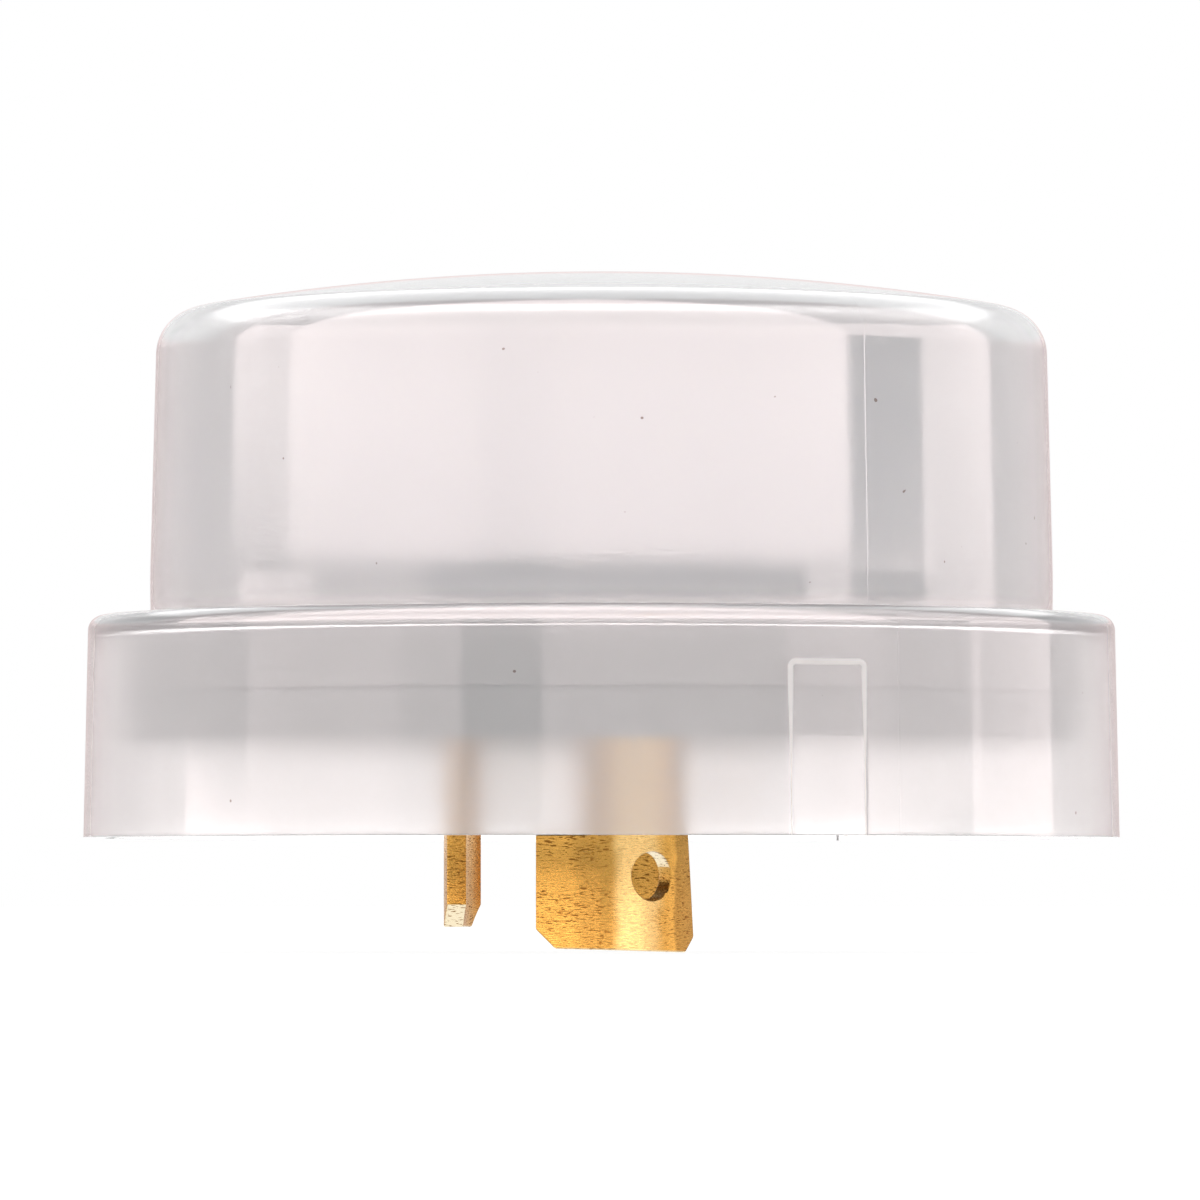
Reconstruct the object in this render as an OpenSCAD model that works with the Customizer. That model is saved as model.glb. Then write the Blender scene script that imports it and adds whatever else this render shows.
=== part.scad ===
// Shorting cap for a twist-lock photocell receptacle
// Millimetres, +Z up along the axis of the cap, front towards -Y
// Origin: on the axis, in the plane where the gasket meets the receptacle
// Angles round the axis run clockwise seen from above, from the front

/* [Cover] */
// Outer diameter of the skirt at its rim
skirt_d = 84; // [80:0.5:90]
// How far the rim hangs below the seating plane
rim_drop = 7.7; // [5:0.1:11]
// Height of the ledge between skirt and dome above the seating plane
ledge_h = 10.3; // [9:0.1:14]
// Draft of the skirt wall, in degrees
skirt_draft = 1.2; // [0.5:0.1:2]
// Radius on the outer edge of the ledge
ledge_edge_r = 1.2; // [0.5:0.1:2]
// Outer diameter of the dome where it leaves the ledge
dome_d = 73.4; // [66:0.2:75]
// Height of the dome from the ledge to the shoulder of its crown
dome_h = 24.9; // [18:0.1:34]
// Draft of the dome wall, in degrees
dome_draft = 1.45; // [0.5:0.05:2.5]
// Radius between dome wall and crown
dome_edge_r = 3.8; // [2:0.1:7]
// Radius of the shallow crown on top of the dome
crown_r = 196; // [120:1:400]
// Wall of the skirt and of the dome
cover_wall = 1.8; // [1.2:0.1:2.4]
// Thickness of the ledge
ledge_t = 1.5; // [1:0.1:2]
// Radius where the inner wall of the skirt meets the ledge
inner_edge_r = 0.6; // [0.2:0.1:1]

/* [Keys between cover and base] */
// Number of key grooves inside the skirt
key_count = 3; // [2:1:4]
// Place of the groove that shows at the front, in degrees
key_angle = -26; // [-40:1:-10]
// Width of a key groove
key_w = 6.2; // [4:0.1:8]
// Depth of a key groove in the skirt wall
key_depth = 0.7; // [0.4:0.05:0.9]
// Height above the seating plane where a groove ends
key_top = 6; // [5:0.1:7]

/* [Base] */
// Gap between the base and the parts round it
base_gap = 0.3; // [0.2:0.05:0.6]
// Floor of the base
floor_t = 2.5; // [2:0.1:3.2]
// Wall of the upstanding rim of the base
base_rim_t = 2; // [1.5:0.1:3]
// Radius of the solid hub that holds the blades
hub_r = 17; // [16:0.1:17.5]
// Outer radius of the ring that centres the gasket
collar_r = 27; // [25.5:0.1:30]
// Wall of that ring
collar_t = 2.2; // [1.6:0.1:2.6]
// Height of hub and ring above the seating plane
hub_h = 1; // [0.5:0.1:2]
// Number of ribs between hub and ring, from one rivet to the next
rib_count = 2; // [1:1:3]
// Thickness of a rib
rib_t = 1.5; // [1:0.1:2]

/* [Gasket] */
// Thickness of the foam ring
gasket_t = 3.9; // [3:0.1:5]
// Gap between the foam ring and the wall of the skirt
gasket_gap = 0.9; // [0.5:0.1:2]

/* [Blades] */
// Thickness of the brass strip
blade_t = 1.59; // [1.4:0.01:1.8]
// Outer radius to which the blades are rolled, and on which they stand
blade_r = 12.8; // [12.2:0.1:13.4]
// Width of the line and load blades, along their curve
blade_w = 8.8; // [8:0.1:10]
// How far the line and load blades reach below the seating plane
blade_drop = 14.9; // [12:0.1:17]
// Corner cut at the tip of the line and load blades
blade_chamfer = 1.8; // [0.8:0.1:2.4]
// Place of the line blade, in degrees
line_angle = 98; // [85:1:110]
// Place of the load blade, in degrees
load_angle = 192; // [185:1:205]
// Gap between a blade and its slot in the base
slot_gap = 0.12; // [0.05:0.01:0.3]

/* [Neutral blade] */
// How far the middle of the neutral blade reaches below the seating plane
neutral_drop = 16.8; // [14:0.1:19]
// Width of its neck, along the curve
neck_w = 8.8; // [8:0.1:10]
// How far its locking hook stands out from the neck, along the curve
hook_out = 3.8; // [2:0.1:4.5]
// How far below the seating plane the hook starts
hook_drop = 7.5; // [6:0.1:10]
// Spread of its trailing edge from the seating plane to the tip
trail_spread = 1.7; // [0:0.1:2]
// Corner cut at the tip of the neutral blade
neutral_chamfer = 1.5; // [0.8:0.1:2]
// Slope of the tip up towards the hook, in degrees
tip_slope = 1.6; // [0:0.1:4]
// Diameter of the detent hole
hole_d = 3.9; // [3:0.1:4.5]
// How far below the seating plane the middle of the hole is
hole_drop = 10.8; // [9.5:0.1:13]
// How far the middle of the hole lies to the trailing side
hole_shift = 1.1; // [0:0.1:2]
// Place of the neutral blade, in degrees
neutral_angle = -14.1; // [-20:0.1:-5]
// Turn of the neutral blade about its own middle, in degrees
neutral_turn = 17.9; // [0:0.1:20]

/* [Rivets and link] */
// Width of the foot of a blade
foot_w = 7; // [6:0.1:8]
// Distance of a rivet from the outer face of its blade
rivet_out = 7.6; // [7.2:0.1:8]
// Diameter of a rivet
rivet_d = 3; // [2.5:0.1:3.4]
// Diameter of a rivet head
rivet_head_d = 5; // [4.4:0.1:5.2]
// Height of a rivet head
rivet_head_h = 1.2; // [0.8:0.1:1.6]
// Gap round a rivet in its holes
rivet_gap = 0.05; // [0.03:0.01:0.1]
// Least gap between the head of a rivet and the core of the base
head_gap = 0.3; // [0.2:0.1:0.5]
// Thickness of the shorting link
link_t = 0.8; // [0.5:0.1:1.2]
// Width of the shorting link
link_w = 5.2; // [4.4:0.1:5.8]
// Diameter of its eyes, on the rivets
link_eye_d = 6.8; // [6:0.1:7.4]

/* [Hidden] */
$fn = 96;
// Overlap inside a solid, and how far a cut runs past a face
eps = 0.01;
cut = 1;

// Cover: radii of its walls at a height, from the drafts
skirt_r = skirt_d / 2;
dome_r = dome_d / 2;
shoulder_h = ledge_h + dome_h;
ledge_under = ledge_h - ledge_t;
function skirt_at(z) = skirt_r - (z + rim_drop) * tan(skirt_draft);
function dome_at(z) = dome_r - (z - ledge_h) * tan(dome_draft);

// Base and gasket: heights of the stack, and the radius inside the skirt
floor_top = gasket_t + floor_t;
bore_r = skirt_at(ledge_under) - cover_wall;
base_r = bore_r - base_gap;
gasket_r = bore_r - gasket_gap;
key_reach = bore_r + key_depth - base_gap;

// Blades: the foot lies on the floor of the base, and the strip ends inside the bend to it
foot_top = floor_top + blade_t;
bend_top = floor_top + blade_t / 2;
rivet_circle = blade_r + rivet_out;
blade_inner_r = blade_r - blade_t;

// Places of the rivets, once round from the neutral one; the turn of its blade moves it aside
neutral_rivet_angle = neutral_angle
    - atan2(rivet_out * sin(neutral_turn), blade_r + rivet_out * cos(neutral_turn));
rivet_angles = [neutral_rivet_angle, line_angle, load_angle, neutral_rivet_angle + 360];

// Turns what is drawn at the front to its place round the axis
module at_angle(a) {
    rotate([0, 0, -a]) children();
}

// Turns what is drawn at the front about the middle of the blade
module turned(a) {
    translate([0, -blade_r, 0]) rotate([0, 0, a]) translate([0, blade_r, 0]) children();
}

module at_neutral() {
    at_angle(neutral_angle) turned(neutral_turn) children();
}

// Half section of a drafted shell with a rounded top edge, from the axis outwards
module drafted_section(r_low, z_low, z_high, draft, edge_r) {
    r_high = r_low - (z_high - z_low) * tan(draft);
    cx = r_high - edge_r * (1 - sin(draft)) / cos(draft);
    cz = z_high - edge_r;
    polygon([
        [0, z_low],
        [r_low, z_low],
        [cx + edge_r * cos(draft), cz + edge_r * sin(draft)],
        [cx, cz],
        [cx, z_high],
        [0, z_high]
    ]);
    translate([cx, cz]) circle(r = edge_r);
}

// Half section of the dome: drafted wall, round shoulder and shallow crown that meet smoothly
module dome_section(r_low, z_low, z_shoulder, draft, edge_r, top_r) {
    cx = r_low - (z_shoulder - edge_r - z_low) * tan(draft) - edge_r / cos(draft);
    slope = asin(cx / (top_r - edge_r));
    cz = z_shoulder - edge_r * cos(slope);
    crown_z = cz - (top_r - edge_r) * cos(slope);
    shoulder_r = cx + edge_r * sin(slope);
    polygon([
        [0, z_low],
        [r_low, z_low],
        [cx + edge_r * cos(draft), cz + edge_r * sin(draft)],
        [cx, cz],
        [shoulder_r, z_shoulder],
        [0, z_shoulder]
    ]);
    translate([cx, cz]) circle(r = edge_r);
    intersection() {
        translate([0, crown_z]) circle(r = top_r, $fn = 720);
        translate([0, z_shoulder - eps]) square([shoulder_r, top_r]);
    }
}

// Right half of a section that circles may have carried past the axis
module right_half(z_low, z_high) {
    intersection() {
        children();
        translate([0, z_low]) square([skirt_d, z_high - z_low]);
    }
}

module cover_outside() {
    rotate_extrude() right_half(-rim_drop, shoulder_h + dome_r) {
        drafted_section(skirt_r, -rim_drop, ledge_h, skirt_draft, ledge_edge_r);
        dome_section(dome_r, ledge_h, shoulder_h, dome_draft, dome_edge_r, crown_r);
    }
}

module cover_inside() {
    z_open = -rim_drop - cut;
    rotate_extrude() right_half(z_open, shoulder_h + dome_r) {
        drafted_section(skirt_at(z_open) - cover_wall, z_open, ledge_under, skirt_draft, inner_edge_r);
        dome_section(dome_at(ledge_under) - cover_wall, ledge_under - eps, shoulder_h - cover_wall,
                     dome_draft, dome_edge_r - cover_wall, crown_r - cover_wall);
    }
}

// Key grooves run up the inside of the skirt from the rim
module key_grooves() {
    z_open = -rim_drop - cut;
    for (k = [0:key_count - 1]) {
        at_angle(key_angle + k * 360 / key_count) intersection() {
            translate([-key_w / 2, -skirt_r, z_open]) cube([key_w, skirt_r, key_top - z_open]);
            translate([0, 0, z_open]) cylinder(r = bore_r + key_depth, h = key_top - z_open);
        }
    }
}

module cover() {
    color([0.93, 0.91, 0.9, 0.5]) difference() {
        cover_outside();
        cover_inside();
        key_grooves();
    }
}

// Keys of the base that slide in the grooves and stop at their ends
module base_keys() {
    key_side = key_w - 2 * base_gap;
    for (k = [0:key_count - 1]) {
        at_angle(key_angle + k * 360 / key_count) intersection() {
            translate([-key_side / 2, -key_reach, gasket_t])
                cube([key_side, base_rim_t + key_depth, key_top - base_gap - gasket_t]);
            translate([0, 0, gasket_t]) cylinder(r = key_reach, h = key_top - gasket_t);
        }
    }
}

// Draws at each of the three rivets
module at_rivets() {
    for (a = [line_angle, load_angle]) {
        at_angle(a) translate([0, -rivet_circle, 0]) children();
    }
    at_neutral() translate([0, -rivet_circle, 0]) children();
}

// Cored underside: collar, hub and the ribs between them, clear of the heads of the rivets
module base_core() {
    core_h = gasket_t - hub_h + eps;
    rib_outer = collar_r - collar_t / 2;
    translate([0, 0, hub_h]) difference() {
        union() {
            cylinder(r = hub_r, h = core_h);
            difference() {
                cylinder(r = collar_r, h = core_h);
                translate([0, 0, -cut]) cylinder(r = collar_r - collar_t, h = core_h + 2 * cut);
            }
            for (side = [0:len(rivet_angles) - 2], k = [0:rib_count - 1]) {
                span = rivet_angles[side + 1] - rivet_angles[side];
                at_angle(rivet_angles[side] + span * (k + 1 / 2) / rib_count)
                    translate([-rib_t / 2, -rib_outer, 0]) cube([rib_t, rib_outer - hub_r / 2, core_h]);
            }
        }
        at_rivets() translate([0, 0, -cut])
            cylinder(r = rivet_head_d / 2 + head_gap, h = core_h + 2 * cut, $fn = 48);
    }
}

// Floor and upstanding rim; the rim stops against the ledge and clears the radius beside it
module base_body() {
    rotate_extrude() polygon([
        [0, gasket_t],
        [base_r, gasket_t],
        [base_r, ledge_under - inner_edge_r],
        [base_r - inner_edge_r, ledge_under],
        [base_r - base_rim_t, ledge_under],
        [base_r - base_rim_t, floor_top],
        [0, floor_top]
    ]);
    base_core();
    base_keys();
}

// Slot of a blade through hub and floor
module blade_slot(w) {
    rolled(-w / 2 - slot_gap, w / 2 + slot_gap, hub_h - cut, floor_top + cut, slot_gap);
}

module rivet_hole(z_low, z_high) {
    translate([0, 0, z_low]) cylinder(r = rivet_d / 2 + rivet_gap, h = z_high - z_low, $fn = 48);
}

module base() {
    color([0.56, 0.56, 0.56]) difference() {
        base_body();
        for (a = [line_angle, load_angle]) {
            at_angle(a) blade_slot(blade_w);
        }
        at_neutral() blade_slot(neck_w);
        at_rivets() rivet_hole(gasket_t - cut, floor_top + cut);
    }
}

module gasket() {
    color([0.5, 0.5, 0.5]) difference() {
        cylinder(r = gasket_r, h = gasket_t);
        translate([0, 0, -cut]) cylinder(r = collar_r + base_gap, h = gasket_t + 2 * cut);
    }
}

// Angle that a length along the rolled strip takes round the axis of its curve
function arc(length) = length / (blade_r - blade_t / 2) * 180 / PI;

// Rolled strip between two lengths along its curve, from its middle to the right; its ends are radial
module rolled(u_left, u_right, z_low, z_high, gap = 0) {
    rotate([0, 0, arc(u_left) - 90]) rotate_extrude(angle = arc(u_right - u_left))
        translate([blade_inner_r - gap, z_low]) square([blade_t + 2 * gap, z_high - z_low]);
}

// Outline cut straight through the strip, at a length along its curve
module through(u) {
    rotate([0, 0, arc(u)]) rotate([90, 0, 0]) linear_extrude(height = blade_r + cut) children();
}

// Corner cut off a tip, drawn with the tip's corner at the origin and the strip to the right
module corner(size) {
    polygon([[-cut, -cut], [size + cut, -cut], [-cut, size + cut]]);
}

// Foot of a blade: bent outwards over the floor of the base, with a round end about the rivet
module foot() {
    translate([0, 0, floor_top]) difference() {
        linear_extrude(height = blade_t) {
            translate([0, -rivet_circle]) circle(d = foot_w);
            translate([-foot_w / 2, -rivet_circle]) square([foot_w, rivet_out + blade_t / 2]);
        }
        translate([0, -rivet_circle, 0]) rivet_hole(-cut, blade_t + cut);
        translate([0, 0, -cut]) cylinder(r = blade_r - blade_t / 2, h = blade_t + 2 * cut);
    }
}

// Line and load blades: plain, with both corners of the tip cut
module plain_blade() {
    half = blade_w / 2;
    difference() {
        rolled(-half, half, -blade_drop, bend_top);
        through(-half) translate([0, -blade_drop]) corner(blade_chamfer);
        through(half) translate([0, -blade_drop]) mirror([1, 0]) corner(blade_chamfer);
    }
    foot();
}

// Neutral blade: a hook on its leading side turns in under the plate of the receptacle, the
// trailing edge leans out below the seating plane, and the tip slopes
module hooked_blade() {
    half = neck_w / 2;
    hook_end = -half - hook_out;
    trail_end = half + trail_spread;
    difference() {
        rolled(hook_end, trail_end, -neutral_drop - cut, bend_top);
        through(-half) translate([-hook_out - cut, -hook_drop])
            square([hook_out + cut, hook_drop + foot_top + cut]);
        through(half) trailing_rest();
        through(0) translate([0, -neutral_drop]) rotate(-tip_slope)
            translate([-blade_r, -2 * cut]) square([2 * blade_r, 2 * cut]);
        through(hook_end) translate([0, tip_z(hook_end)]) corner(neutral_chamfer);
        through(trail_end) translate([0, tip_z(trail_end)]) mirror([1, 0]) corner(neutral_chamfer);
        through(hole_shift) translate([0, -hole_drop]) circle(d = hole_d, $fn = 64);
    }
    foot();
}

// Height of the sloping tip at a length along the curve
function tip_z(u) = -neutral_drop - u * tan(tip_slope);

// What lies beyond the trailing edge, which is upright in the base and leans out below it
module trailing_rest() {
    polygon([
        [0, foot_top + cut],
        [0, 0],
        [2 * trail_spread, -2 * neutral_drop],
        [2 * trail_spread + cut, -2 * neutral_drop],
        [2 * trail_spread + cut, foot_top + cut]
    ]);
}

module neutral_blade() {
    color([0.85, 0.62, 0.25]) at_neutral() hooked_blade();
}

module line_blade() {
    color([0.85, 0.62, 0.25]) at_angle(line_angle) plain_blade();
}

module load_blade() {
    color([0.85, 0.62, 0.25]) at_angle(load_angle) plain_blade();
}

// Link on the feet of the line and load blades: an arc between the eyes on their rivets
module shorting_link() {
    color([0.82, 0.58, 0.3]) translate([0, 0, foot_top]) difference() {
        union() {
            at_angle(load_angle) rotate([0, 0, -90]) rotate_extrude(angle = load_angle - line_angle)
                translate([rivet_circle - link_w / 2, 0]) square([link_w, link_t]);
            for (a = [line_angle, load_angle]) {
                at_angle(a) translate([0, -rivet_circle, 0]) cylinder(d = link_eye_d, h = link_t);
            }
        }
        for (a = [line_angle, load_angle]) {
            at_angle(a) translate([0, -rivet_circle, 0]) rivet_hole(-cut, link_t + cut);
        }
    }
}

// Rivet through a foot and the floor of the base: flat head below, round head above
module rivet(z_top) {
    head_ball_r = (pow(rivet_head_d / 2, 2) + pow(rivet_head_h, 2)) / (2 * rivet_head_h);
    shank_h = z_top - gasket_t + 3 / 2 * rivet_head_h;
    translate([0, -rivet_circle, 0]) rotate_extrude($fn = 48) {
        translate([0, gasket_t - rivet_head_h]) square([rivet_d / 2, shank_h]);
        translate([0, gasket_t - rivet_head_h]) square([rivet_head_d / 2, rivet_head_h]);
        intersection() {
            translate([0, z_top + rivet_head_h - head_ball_r]) circle(r = head_ball_r);
            translate([0, z_top]) square([rivet_head_d / 2, rivet_head_h]);
        }
    }
}

module neutral_rivet() {
    color([0.75, 0.55, 0.3]) at_neutral() rivet(foot_top);
}

module line_rivet() {
    color([0.75, 0.55, 0.3]) at_angle(line_angle) rivet(foot_top + link_t);
}

module load_rivet() {
    color([0.75, 0.55, 0.3]) at_angle(load_angle) rivet(foot_top + link_t);
}

cover();
base();
gasket();
neutral_blade();
line_blade();
load_blade();
shorting_link();
neutral_rivet();
line_rivet();
load_rivet();
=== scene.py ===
"""A photocell shorting cap: a milky cover on a grey base, with a foam gasket and three brass blades.

The script is laid out as an add-on and run as a script. Lengths are in metres, and the origin is on the
axis of the cap, in the plane of the gasket's underside. Angles round the axis run clockwise seen from above,
from the front (-Y).
"""

import bmesh
import bpy
import numpy as np
from bpy.props import FloatProperty, FloatVectorProperty, IntProperty, PointerProperty
from bpy.types import Operator, Panel, PropertyGroup
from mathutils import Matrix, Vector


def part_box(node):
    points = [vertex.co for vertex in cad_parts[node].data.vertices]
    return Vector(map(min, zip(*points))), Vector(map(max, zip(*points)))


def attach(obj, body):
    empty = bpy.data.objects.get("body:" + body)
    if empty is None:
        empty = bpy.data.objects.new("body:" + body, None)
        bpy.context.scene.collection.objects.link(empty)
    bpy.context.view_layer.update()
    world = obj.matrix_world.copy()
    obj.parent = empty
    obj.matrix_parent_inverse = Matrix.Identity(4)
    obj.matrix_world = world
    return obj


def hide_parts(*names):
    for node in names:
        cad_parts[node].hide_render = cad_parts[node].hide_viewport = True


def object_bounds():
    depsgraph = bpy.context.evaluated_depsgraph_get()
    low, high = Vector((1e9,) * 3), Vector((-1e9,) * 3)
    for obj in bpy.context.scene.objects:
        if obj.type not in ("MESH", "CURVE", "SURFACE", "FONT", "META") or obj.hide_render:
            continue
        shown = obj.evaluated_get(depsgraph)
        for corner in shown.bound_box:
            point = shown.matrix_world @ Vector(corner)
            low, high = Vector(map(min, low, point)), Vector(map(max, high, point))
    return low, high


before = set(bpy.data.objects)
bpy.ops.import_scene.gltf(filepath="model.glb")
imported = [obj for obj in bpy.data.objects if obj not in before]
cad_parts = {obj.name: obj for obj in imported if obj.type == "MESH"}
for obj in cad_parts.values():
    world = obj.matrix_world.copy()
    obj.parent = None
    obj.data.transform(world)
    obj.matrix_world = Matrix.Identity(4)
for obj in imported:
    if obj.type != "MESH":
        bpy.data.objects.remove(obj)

CAD_LOW, CAD_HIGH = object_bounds()

bl_info = {
    "name": "Photocell shorting cap",
    "version": (1, 0, 0),
    "blender": (4, 5, 0),
    "location": "View3D > Sidebar > Shorting cap",
    "description": "Makes a shorting cap with a milky moulded cover and brass twist-lock blades",
    "category": "Object",
}

MM = 0.001
BODY = "root"
BLADES = ("neutral_blade", "line_blade", "load_blade")
RIVETS = ("neutral_rivet", "line_rivet", "load_rivet")

COVER_LOW, COVER_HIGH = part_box("cover")
GASKET_LOW, GASKET_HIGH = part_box("gasket")

COVER_COLUMNS = 480
GASKET_COLUMNS = 256
RIDGE_WIDTH = 0.09 * MM
GROOVE_STEP = 0.03 * MM
SHARP_ANGLE = 30


def linear(hex_colour):
    """The linear value of an sRGB hex colour: each channel over 255, then the sRGB curve undone."""
    value = np.array([int(hex_colour[i:i + 2], 16) for i in (1, 3, 5)]) / 255
    return tuple(np.where(value <= 0.04045, value / 12.92, ((value + 0.055) / 1.055) ** 2.4).tolist())


def opaque(colour):
    return (*colour, 1.0)


# Meshes


def placed(name, data):
    """A new object at the world's origin, with this mesh or camera."""
    thing = bpy.data.objects.new(name, data)
    bpy.context.scene.collection.objects.link(thing)
    return thing


def new_piece(name, verts, faces, sharp_angle):
    """A closed mesh object, smooth but for edges that turn by more than sharp_angle."""
    mesh = bpy.data.meshes.new(name)
    mesh.from_pydata(verts.tolist(), [], faces)
    mesh.shade_smooth()
    mesh.set_sharp_from_angle(angle=np.radians(sharp_angle))
    return placed(name, mesh)


def arc(centre_r, centre_z, radius, start, end, steps):
    """Arc in the half section: centre + radius * (cos a, sin a), a from start to end degrees."""
    a = np.radians(np.linspace(start, end, steps))
    return np.column_stack([centre_r + radius * np.cos(a), centre_z + radius * np.sin(a)])


def straight(start, end, steps):
    """Points of a line in the half section: start + t * (end - start), t from 0 to 1."""
    t = np.linspace(0, 1, steps)[:, None]
    return np.array(start) * (1 - t) + np.array(end) * t


def ring_faces(rows, columns, closed):
    """Quads between neighbouring rows of a grid whose columns run once round the axis."""
    i, j = np.meshgrid(np.arange(rows if closed else rows - 1), np.arange(columns), indexing="ij")
    row, row_below = i * columns, (i + 1) % rows * columns
    beside = (j + 1) % columns
    return np.stack([row + j, row_below + j, row_below + beside, row + beside], axis=-1).reshape(-1, 4)


def round_points(radius, height, angles):
    """Grid points (-r sin a, -r cos a, z): a is the angle of a column, r and z belong to a row and column."""
    grid = np.broadcast_arrays(-radius * np.sin(angles), -radius * np.cos(angles), height)
    return np.stack(grid, axis=-1).reshape(-1, 3)


def nearest(angles, places):
    """The angle from each of the angles to the nearest of the places, the short way round."""
    return np.abs((np.subtract.outer(angles, places) + np.pi) % (2 * np.pi) - np.pi).min(axis=1)


def finish_faces(verts, faces):
    """The faces, turned round if the sum of v0 . (v1 x v2) over their triangles is negative."""
    fans = np.concatenate([faces[:, [0, 1, 2]], faces[:, [0, 2, 3]]])
    a, b, c = (verts[fans[:, k]] for k in range(3))
    if np.einsum("ij,ij->i", a, np.cross(b, c)).sum() < 0:
        faces = faces[:, ::-1]
    return faces


# Materials


def add_node(tree, kind, inputs=None, **settings):
    """Adds a node: settings are its properties, inputs give its sockets a value or an output to read."""
    node = tree.nodes.new(kind)
    for name, value in settings.items():
        setattr(node, name, value)
    for socket, value in (inputs or {}).items():
        if isinstance(value, bpy.types.NodeSocket):
            tree.links.new(value, node.inputs[socket])
        else:
            node.inputs[socket].default_value = value
    return node


def math(tree, operation, *values):
    return add_node(tree, "ShaderNodeMath", dict(enumerate(values)), operation=operation).outputs[0]


def smooth_step(tree, value, low, high):
    """0 where value is low, 1 where it is high, and smooth between; low may be the greater."""
    sockets = {"Value": value, "From Min": low, "From Max": high}
    return add_node(tree, "ShaderNodeMapRange", sockets, interpolation_type="SMOOTHSTEP").outputs[0]


def window(tree, value, low, high, edge):
    """1 between low and high, 0 outside, with edges that are edge wide."""
    rise = smooth_step(tree, value, low - edge / 2, low + edge / 2)
    return math(tree, "MULTIPLY", rise, smooth_step(tree, value, high + edge / 2, high - edge / 2))


def mixed(tree, share, first, second):
    """The colour first where share is 0 and second where it is 1."""
    return add_node(tree, "ShaderNodeMix", {0: share, 6: first, 7: second}, data_type="RGBA").outputs[2]


def pattern_place(tree, scale=(1, 1, 1)):
    """Object coordinates in metres, stretched by scale."""
    coordinates = add_node(tree, "ShaderNodeTexCoord").outputs["Object"]
    return add_node(tree, "ShaderNodeMapping", {"Vector": coordinates, "Scale": scale}).outputs[0]


def noise(tree, place, grain, detail=2.0):
    """Noise from 0 to 1 whose blots are about grain metres wide."""
    sockets = {"Vector": place, "Scale": 1 / grain, "Detail": detail}
    return add_node(tree, "ShaderNodeTexNoise", sockets).outputs["Fac"]


def bumped(tree, height, depth):
    """The normal of a surface that height, from 0 to 1, raises by up to depth metres."""
    sockets = {"Height": height, "Distance": depth, "Strength": 1.0}
    return add_node(tree, "ShaderNodeBump", sockets).outputs[0]


def new_material(name):
    """A material with an empty node tree and its output node."""
    material = bpy.data.materials.new(name)
    material.use_nodes = True
    material.node_tree.nodes.clear()
    return material, material.node_tree, add_node(material.node_tree, "ShaderNodeOutputMaterial")


def surface(tree, output, sockets):
    """Adds the Principled shader that the output shows."""
    shader = add_node(tree, "ShaderNodeBsdfPrincipled", sockets)
    tree.links.new(shader.outputs[0], output.inputs["Surface"])


def groove_edge_highlight(tree, place, settings):
    """1 on the outline of each key groove, a rectangle with round corners whose lines thin towards the rim.

    It is a painted highlight on the skin, where the eye sees the groove's edges through the wall, a little
    beside the groove itself.
    """
    seen_aside, seen_lower, corner = 0.0187, 0.2 * MM, 0.45 * MM
    thin, thicker, thin_height = 0.06 * MM, 0.17 * MM, -4 * MM
    across, front, height = add_node(tree, "ShaderNodeSeparateXYZ", {0: place}).outputs
    turn = math(tree, "ARCTAN2", math(tree, "MULTIPLY", across, -1), math(tree, "MULTIPLY", front, -1))
    turn = math(tree, "SUBTRACT", turn, settings.key_angle + seen_aside)
    aside = math(tree, "ABSOLUTE", math(tree, "WRAP", turn, np.pi / 3, -np.pi / 3))
    outside = math(tree, "MULTIPLY_ADD", aside, settings.key_radius, corner - settings.key_width / 2)
    outside = math(tree, "MAXIMUM", outside, 0.0)
    over = math(tree, "MAXIMUM", math(tree, "ADD", height, corner + seen_lower - settings.key_top), 0.0)
    squares = math(tree, "ADD", math(tree, "POWER", outside, 2.0), math(tree, "POWER", over, 2.0))
    off = math(tree, "ABSOLUTE", math(tree, "SUBTRACT", math(tree, "SQRT", squares), corner))
    up = smooth_step(tree, height, thin_height, settings.key_top)
    thick = math(tree, "MULTIPLY_ADD", up, thicker, thin)
    return smooth_step(tree, math(tree, "DIVIDE", off, thick), 1.3, 0.7)


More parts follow.
